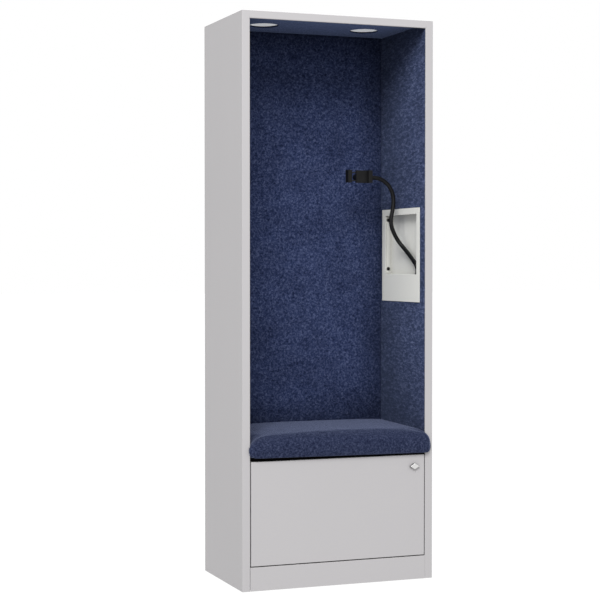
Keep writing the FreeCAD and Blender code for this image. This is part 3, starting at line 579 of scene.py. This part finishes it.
def make_cushion():
    line = pad_section()
    count = len(line)
    ahead, behind = np.roll(line, -1, 0), np.roll(line, 1, 0)
    tangent = ahead - behind
    tangent /= np.linalg.norm(tangent, axis=1)[:, None]
    inward = np.stack([tangent[:, 1], -tangent[:, 0]], 1)
    middle = np.array([-20.0, 555.0])
    inward *= np.sign(((middle - line) * inward).sum(1))[:, None]
    # the end's edge, round the section: how far it rounds inwards, generous on top, less down the front,
    # tight underneath; and over what length it does so at each end
    level = np.clip((line[:, 1] - 512.0) / 24.0, 0, 1)
    fore = ease((-120.0 - line[:, 0]) / 90.0)
    drop = {}
    for side, more in ((-1, 16.0), (1, 0.0)):
        d = 12.0 + 6.0 * level + (18.0 + more * fore) * np.clip(-inward[:, 1], 0, 1)
        d = np.where((line[:, 0] < -217) & (line[:, 1] < 522), 24.0, d)
        d = np.where((line[:, 0] > -214) & (line[:, 1] < 522), 2.0, d)
        d = np.where((line[:, 0] > 185), np.minimum(d, 7.0), d)
        for _ in range(4):
            d = 0.5 * d + 0.25 * (np.roll(d, 1) + np.roll(d, -1))
        drop[side] = d
    span = {-1: drop[-1] * (1.18 + 0.16 * fore), 1: np.where(drop[1] > 14.0, 14.0 + (drop[1] - 14.0) * 0.6, drop[1])}
    rings = []
    turns = [math.radians(90 * k / 12) for k in range(12, 0, -1)]
    flat = np.linspace(-1, 1, 81)
    reach = {-1: SEAT["left"] - 2.0, 1: SEAT["right"] - 3.0}

    def ring(side, phi):
        part = line + inward * (drop[side] * (1 - math.cos(phi)))[:, None]
        x = side * (reach[side] - span[side] * (1 - math.sin(phi)))
        return np.stack([x, part[:, 0], part[:, 1]], 1)

    # each end closes on a line of shared points, so that no slit is left there
    stations = np.concatenate([np.minimum(line[:30, 0], 185.0), [-223.0, -232.0]])
    spine = np.stack([stations[np.abs(line[:, :1] - stations).argmin(1)], np.full(count, 550.0)], 1)

    def cap(side):
        edge = line + inward * drop[side][:, None]
        parts = [edge + (spine - edge) * (k / 6) for k in range(1, 7)]
        return [np.stack([np.full(count, side * reach[side]), part[:, 0], part[:, 1]], 1) for part in parts]

    rings += cap(-1)[::-1]
    rings += [ring(-1, t) for t in turns]
    left, right = ring(-1, 0.0), ring(1, 0.0)
    rings += [left + (right - left) * ((f + 1) / 2) for f in flat]
    rings += [ring(1, t) for t in turns[::-1]]
    rings += cap(1)
    co = np.concatenate(rings)
    faces = []
    for i in range(len(rings) - 1):
        for k in range(count):
            q = (k + 1) % count
            faces.append([i * count + k, i * count + q, (i + 1) * count + q, (i + 1) * count + k])
    co[:, 2] += np.where((co[:, 1] < -214) & (co[:, 2] < 560),
                         (hem_level(co[:, 0]) - 509.0) * np.clip((560 - co[:, 2]) / 40, 0, 1)
                         * np.clip((-214 - co[:, 1]) / 4, 0, 1), 0)
    # the foam is crowned along its length too, most over its front edge
    crown = 11.0 * (1 - np.clip(np.abs(co[:, 0] - 40.0) / 345.0, 0, 1) ** 3)
    co[:, 2] += crown * ease((co[:, 2] - 532.0) / 56.0) * (1 - 0.5 * ease((co[:, 1] + 190.0) / 380.0))
    co = keep_clear(co)
    pad = new_object("seat_pad", co * MM, faces, "seat_fabric")
    bm = bmesh.new()
    bm.from_mesh(pad.data)
    bmesh.ops.remove_doubles(bm, verts=bm.verts, dist=0.05 * MM)
    bmesh.ops.dissolve_degenerate(bm, edges=bm.edges, dist=0.02 * MM)
    bmesh.ops.recalc_face_normals(bm, faces=bm.faces)
    bm.to_mesh(pad.data)
    bm.free()
    co = points_of(pad.data) * 1000
    co = swell(pad, co)
    # the cover lies a little unevenly over the foam
    for p in co:
        if p[2] > 524.0:
            q = Vector((p[0] / 95.0, p[1] / 70.0, p[2] / 60.0))
            n = noise.noise(q) + 0.5 * noise.noise(q * 2.1)
            p[2] += 0.7 * n * min(1.0, (p[2] - 524.0) / 30.0)
    co = keep_clear(co)
    put_points(pad.data, co * MM)
    shade_smooth(pad)
    fine = pad.modifiers.new("fine", "SUBSURF")
    fine.levels = fine.render_levels = 1
    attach(pad, "carcass")
    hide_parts("seat_cushion")
    return pad


def swell(pad, start):
    """Inflates the pad as cloth over its foam, held where it is fixed to the board. Points are in mm."""
    hold = pad.vertex_groups.new(name="held")
    fixed = (start[:, 2] < 521.5) & ((start[:, 1] > -217.0) | (start[:, 2] < 512.5))
    hold.add([int(i) for i in np.nonzero(fixed)[0]], 1.0, "REPLACE")
    cloth = pad.modifiers.new("swell", "CLOTH")
    c = cloth.settings
    c.quality = 6
    c.mass = 0.3
    c.tension_stiffness = c.compression_stiffness = 15.0
    c.shear_stiffness = 8.0
    c.bending_stiffness = 0.5
    c.use_pressure = True
    c.uniform_pressure_force = 0.6
    c.effector_weights.gravity = 0.0
    c.vertex_group_mass = "held"
    cloth.collision_settings.use_collision = False
    cloth.collision_settings.use_self_collision = False
    cloth.point_cache.frame_start, cloth.point_cache.frame_end = 1, 20
    for f in range(1, 21):
        SCENE.frame_set(f)
    shown = pad.evaluated_get(bpy.context.evaluated_depsgraph_get())
    co = points_of(shown.data) * 1000
    pad.modifiers.remove(cloth)
    pad.vertex_groups.clear()
    SCENE.frame_set(1)
    move = co - start
    far = np.linalg.norm(move, axis=1)
    print("pad swells by up to", round(float(far.max()), 1), "mm, mean", round(float(far.mean()), 1))
    limit = 5.0
    return start + move * (limit * np.tanh(far / limit) / np.maximum(far, 1e-9))[:, None]


make_cushion()


# ---------------------------------------------------------------- flexible neck
def spline_points(points):
    """Points (mm) along the smooth curve that has the given points (mm) as its control points."""
    data = bpy.data.curves.new("route", "CURVE")
    data.dimensions = "3D"
    spline = data.splines.new("NURBS")
    spline.points.add(len(points) - 1)
    for slot, p in zip(spline.points, points):
        slot.co = (*(q * MM for q in p), 1.0)
    spline.order_u = 3
    spline.use_endpoint_u = True
    spline.resolution_u = 24
    holder = bpy.data.objects.new("route", data)
    mesh = bpy.data.meshes.new_from_object(holder)
    line = points_of(mesh) * 1000
    bpy.data.meshes.remove(mesh)
    bpy.data.objects.remove(holder)
    bpy.data.curves.remove(data)
    return line


def even_steps(line, step):
    """The line again with equal spacing."""
    away = np.concatenate([[0], np.cumsum(np.linalg.norm(np.diff(line, axis=0), axis=1))])
    n = int(round(away[-1] / step))
    at = np.linspace(0, away[-1], n + 1)
    return np.stack([np.interp(at, away, line[:, k]) for k in range(3)], 1)


def frames_along(line):
    """Tangent and two cross directions at each point, without twist."""
    t = np.gradient(line, axis=0)
    t /= np.linalg.norm(t, axis=1)[:, None]
    n = np.empty_like(t)
    first = np.cross(t[0], [0.0, 1.0, 0.0])
    if np.linalg.norm(first) < 0.1:
        first = np.cross(t[0], [1.0, 0.0, 0.0])
    n[0] = first / np.linalg.norm(first)
    for i in range(1, len(t)):
        v = n[i - 1] - t[i] * (n[i - 1] @ t[i])
        n[i] = v / np.linalg.norm(v)
    return t, n, np.cross(t, n)


def swept(name, line, radius_at, finish, around=28, cap=(True, True)):
    """A closed round tube along line (mm); radius_at gives each ring's radius."""
    t, n, b = frames_along(line)
    verts, faces = [], []
    for i, p in enumerate(line):
        r = radius_at[i]
        for k in range(around):
            a = 2 * math.pi * k / around
            verts.append((p + (n[i] * math.cos(a) + b[i] * math.sin(a)) * r) * MM)
    for i in range(len(line) - 1):
        for k in range(around):
            q = (k + 1) % around
            faces.append([i * around + k, i * around + q, (i + 1) * around + q, (i + 1) * around + k])
    if cap[0]:
        faces.append(list(range(around))[::-1])
    if cap[1]:
        faces.append([(len(line) - 1) * around + k for k in range(around)])
    obj = new_object(name, verts, faces, finish)
    shade_smooth(obj)
    return obj


NECK = [(380, -127.6, 1230.4), (376.0, -126.2, 1248.5), (377.0, -85.8, 1271.4), (379.8, -43.8, 1293.4),
        (378.6, -2.8, 1316.7), (363.3, 16.5, 1342.7), (342, 15, 1374.3), (325.3, 11.2, 1410.4),
        (324.5, 11.4, 1440), (333, 11.4, 1478), (337, 11.4, 1514), (330, 11.4, 1551), (309, 11.4, 1582),
        (276, 11.4, 1602.5), (240, 11.4, 1606.3), (187, 11.4, 1606)]
PIVOTS = {"a": (380, -68.314, 1281.003), "b": (348.407, 11.4, 1369.828), "c": (329.086, 11.4, 1465.269)}


def make_neck():
    line = even_steps(spline_points(NECK), 1.0)
    # the tube's rings: shallow ridges of the coil under the sleeve, none beside the end fittings
    s = np.arange(len(line), dtype=float)
    ridge = 0.11 * np.sin(2 * math.pi * s / 4.0)
    ends = np.clip(np.minimum(s - 14, len(line) - 1 - 16 - s) / 10, 0, 1)
    radius = 8.4 + ridge * ends
    near = {k: int(np.argmin(np.linalg.norm(line - np.array(p), axis=1))) for k, p in PIVOTS.items()}
    cut_1 = (near["a"] + near["b"]) // 2
    cut_2 = (near["b"] + near["c"]) // 2
    # the sleeve begins inside its foot's ferrule, clear of the socket below
    spans = (("neck_lower", 3, cut_1, "a", "neck_1", "neck_2", "neck_link_1"),
             ("neck_middle", cut_1, cut_2, "b", "neck_2", "neck_3", "neck_link_2"),
             ("neck_upper", cut_2, len(line) - 1, "c", "neck_3", "neck_4", "neck_link_3"))
    for name, i, j, pivot, low, high, node in spans:
        part = swept(name, line[i:j + 1], radius[i:j + 1], "neck_sleeve")
        k = near[pivot]
        t = line[k + 1] - line[k - 1]
        t /= np.linalg.norm(t)
        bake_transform(part)
        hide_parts(*([node, "neck_link_4"] if name == "neck_upper" else [node]))
    return line


def lathe(name, start, along, profile, finish, around=40):
    """A turned piece: profile is (distance along the axis, radius) in mm."""
    a = np.array(along, float) / np.linalg.norm(along)
    n = np.cross(a, [0.0, 1.0, 0.0] if abs(a[1]) < 0.9 else [1.0, 0.0, 0.0])
    n /= np.linalg.norm(n)
    b = np.cross(a, n)
    verts, faces = [], []
    for d, r in profile:
        for k in range(around):
            w = 2 * math.pi * k / around
            verts.append((np.array(start, float) + a * d + (n * math.cos(w) + b * math.sin(w)) * r) * MM)
    for i in range(len(profile) - 1):
        for k in range(around):
            q = (k + 1) % around
            faces.append([i * around + k, i * around + q, (i + 1) * around + q, (i + 1) * around + k])
    faces.append(list(range(around))[::-1])
    faces.append([(len(profile) - 1) * around + k for k in range(around)])
    obj = new_object(name, verts, faces, finish)
    shade_smooth(obj)
    obj.data.set_sharp_from_angle(angle=math.radians(35))
    return obj


neck_line = make_neck()
FERRULE = [(0.0, 8.6), (0.5, 9.3), (3.0, 9.3), (3.4, 8.9), (4.2, 8.9), (4.6, 9.3), (7.2, 9.3), (7.6, 8.9),
           (8.4, 8.9), (8.8, 9.3), (11.0, 9.2), (12.6, 8.4), (13.2, 7.45)]
foot = lathe("neck_foot_ferrule", neck_line[0] + [0, 0, 0.05], (0, 0, 1), FERRULE, "black_plastic")
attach(foot, "neck_1")


# ---------------------------------------------------------------- caps on the cover strip
cap_lo, cap_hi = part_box("cover_caps")
cap_r = (cap_hi.x - cap_lo.x) / 2 * 1000
CAP = [(0.0, 6.7), (0.3, 7.0), (2.6, 7.0), (3.6, 6.8), (4.6, 6.1), (5.2, 5.0), (5.6, 3.6), (5.75, 2.0), (5.8, 0.6)]
for name, level in (("lower_cover_cap", cap_lo.z * 1000 + cap_r), ("upper_cover_cap", cap_hi.z * 1000 - cap_r)):
    cap = lathe(name, ((cap_lo.x + cap_hi.x) * 500, cap_hi.y * 1000, level), (0, -1, 0), CAP, "black_plastic")
    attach(cap, "carcass")
    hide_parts("cover_caps")


# ---------------------------------------------------------------- corner joints
def corner_seam(name, side):
    """The ground weld that closes the joint between a front flange's rounded edge and the top rail."""
    arc = [(-371.0 + 3.04 * math.cos(math.radians(a)), -221.6 + 3.04 * math.sin(math.radians(a)))
           for a in (-14, -28, -42, -56, -70)]
    rings = []
    for z, front in ((2186.9, -222.9), (2187.7, -224.0), (2189.2, -224.63), (2211.6, -224.63), (2213.2, -224.2)):
        line = [(-371.3, front), (-369.5, front), (-367.75, front), (-367.93, front + 0.25)]
        rings.append([(x, max(y, front + 0.02), z) for x, y in line + arc])
    n = len(rings[0])
    verts = [(-side * x * MM, y * MM, z * MM) for ring in rings for x, y, z in ring]
    faces = [[i * n + k, i * n + (k + 1) % n, (i + 1) * n + (k + 1) % n, (i + 1) * n + k]
             for i in range(len(rings) - 1) for k in range(n)]
    faces += [list(range(n))[::-1], [(len(rings) - 1) * n + k for k in range(n)]]
    obj = new_object(name, verts, faces, "case_steel")
    bm = bmesh.new()
    bm.from_mesh(obj.data)
    bmesh.ops.recalc_face_normals(bm, faces=bm.faces)
    bm.to_mesh(obj.data)
    bm.free()
    shade_smooth(obj)
    obj.data.set_sharp_from_angle(angle=math.radians(30))
    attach(obj, "carcass")


corner_seam("left_corner_seam", -1)
corner_seam("right_corner_seam", 1)


# ---------------------------------------------------------------- lock knob
KNOB = (319.0, 452.5)
RHOMB = [(21.2, -0.7), (21.2, 0.7), (1.2, 13), (-1.2, 13), (-21.2, 0.7), (-21.2, -0.7), (-1.2, -13), (1.2, -13)]


def stacked(name, levels, finish):
    """A closed solid from outlines: levels are (y, list of (x, z)) in mm, all with the same number of points."""
    verts = [(x * MM, y * MM, z * MM) for y, ring in levels for x, z in ring]
    n = len(levels[0][1])
    faces = [[i * n + k, i * n + (k + 1) % n, (i + 1) * n + (k + 1) % n, (i + 1) * n + k]
             for i in range(len(levels) - 1) for k in range(n)]
    faces += [list(range(n))[::-1], [(len(levels) - 1) * n + k for k in range(n)]]
    obj = new_object(name, verts, faces, finish)
    bm = bmesh.new()
    bm.from_mesh(obj.data)
    bmesh.ops.recalc_face_normals(bm, faces=bm.faces)
    bm.to_mesh(obj.data)
    bm.free()
    return obj


def rhomb(size):
    return [(KNOB[0] + x * size, KNOB[1] + z * size) for x, z in RHOMB]


def disc(radius, count=40):
    return [(KNOB[0] + radius * math.cos(2 * math.pi * k / count),
             KNOB[1] + radius * math.sin(2 * math.pi * k / count)) for k in range(count)]


body = stacked("knob_body", [(-228.05, rhomb(0.94)), (-228.5, rhomb(0.98)), (-233.4, rhomb(1.0)),
                             (-234.9, rhomb(0.93)), (-235.0, rhomb(0.92))], "knob_dark")
plate = stacked("knob_plate", [(-234.9, rhomb(0.89)), (-235.35, rhomb(0.89)), (-235.6, rhomb(0.85))], "lock_metal")
pin = stacked("knob_spindle", [(-200.1, disc(5.5)), (-200.6, disc(6.0)), (-229.6, disc(6.0))], "lock_metal")
for piece in (body, plate, pin):
    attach(piece, "lock")
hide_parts("lock_knob")


# ---------------------------------------------------------------- floor, light, camera
def floor():
    obj = new_object("floor", [(-60, -60, 0), (60, -60, 0), (60, 60, 0), (-60, 60, 0)], [[0, 1, 2, 3]], "case_steel")
    f = Finish("pale_floor", Roughness=0.9, Specular_IOR_Level=0.1)
    f.drive("Base Color", f.ramp(f.noise(0.8, 2.0, 0.5), (0.3, (0.055, 0.055, 0.055)), (0.7, (0.065, 0.065, 0.065))))
    f.set("Emission Color", (1, 1, 1, 1))
    f.set("Emission Strength", 0.96)
    obj.data.materials.clear()
    obj.data.materials.append(f.mat)


def softbox(name, at, aim, size, power):
    data = bpy.data.lights.new(name, "AREA")
    data.shape, data.size, data.size_y = "RECTANGLE", size[0], size[1]
    data.energy = power
    obj = bpy.data.objects.new(name, data)
    obj.location = at
    obj.visible_camera = False
    obj.rotation_euler = (Vector(aim) - Vector(at)).to_track_quat("-Z", "Y").to_euler()
    SCENE.collection.objects.link(obj)


floor()
softbox("key", (-3.95, -8.46, 8.20), (0.0, 0.0, 1.2), (5.2, 5.2), 1540)
softbox("side", (-4.45, -2.57, 2.60), (0.1, -0.2, 1.2), (5.4, 3.8), 18)

world = bpy.data.worlds.new("studio")
SCENE.world = world
world.use_nodes = True
sky = world.node_tree.nodes["Background"]
sky.inputs["Color"].default_value = (1.0, 1.0, 1.0, 1.0)
sky.inputs["Strength"].default_value = 1.0

SCENE.view_settings.view_transform = "Standard"
SCENE.view_settings.look = "None"

lens = bpy.data.cameras.new("camera")
lens.lens, lens.sensor_width, lens.sensor_fit = 95.88, 36.0, "AUTO"
lens.clip_end = 200.0
camera = bpy.data.objects.new("camera", lens)
camera.location = (-2.37165, -5.96633, 1.25207)
camera.rotation_euler = (math.radians(90 - 1.2763), 0.0, -math.radians(21.0237))
SCENE.collection.objects.link(camera)
SCENE.camera = camera

bpy.context.view_layer.update()
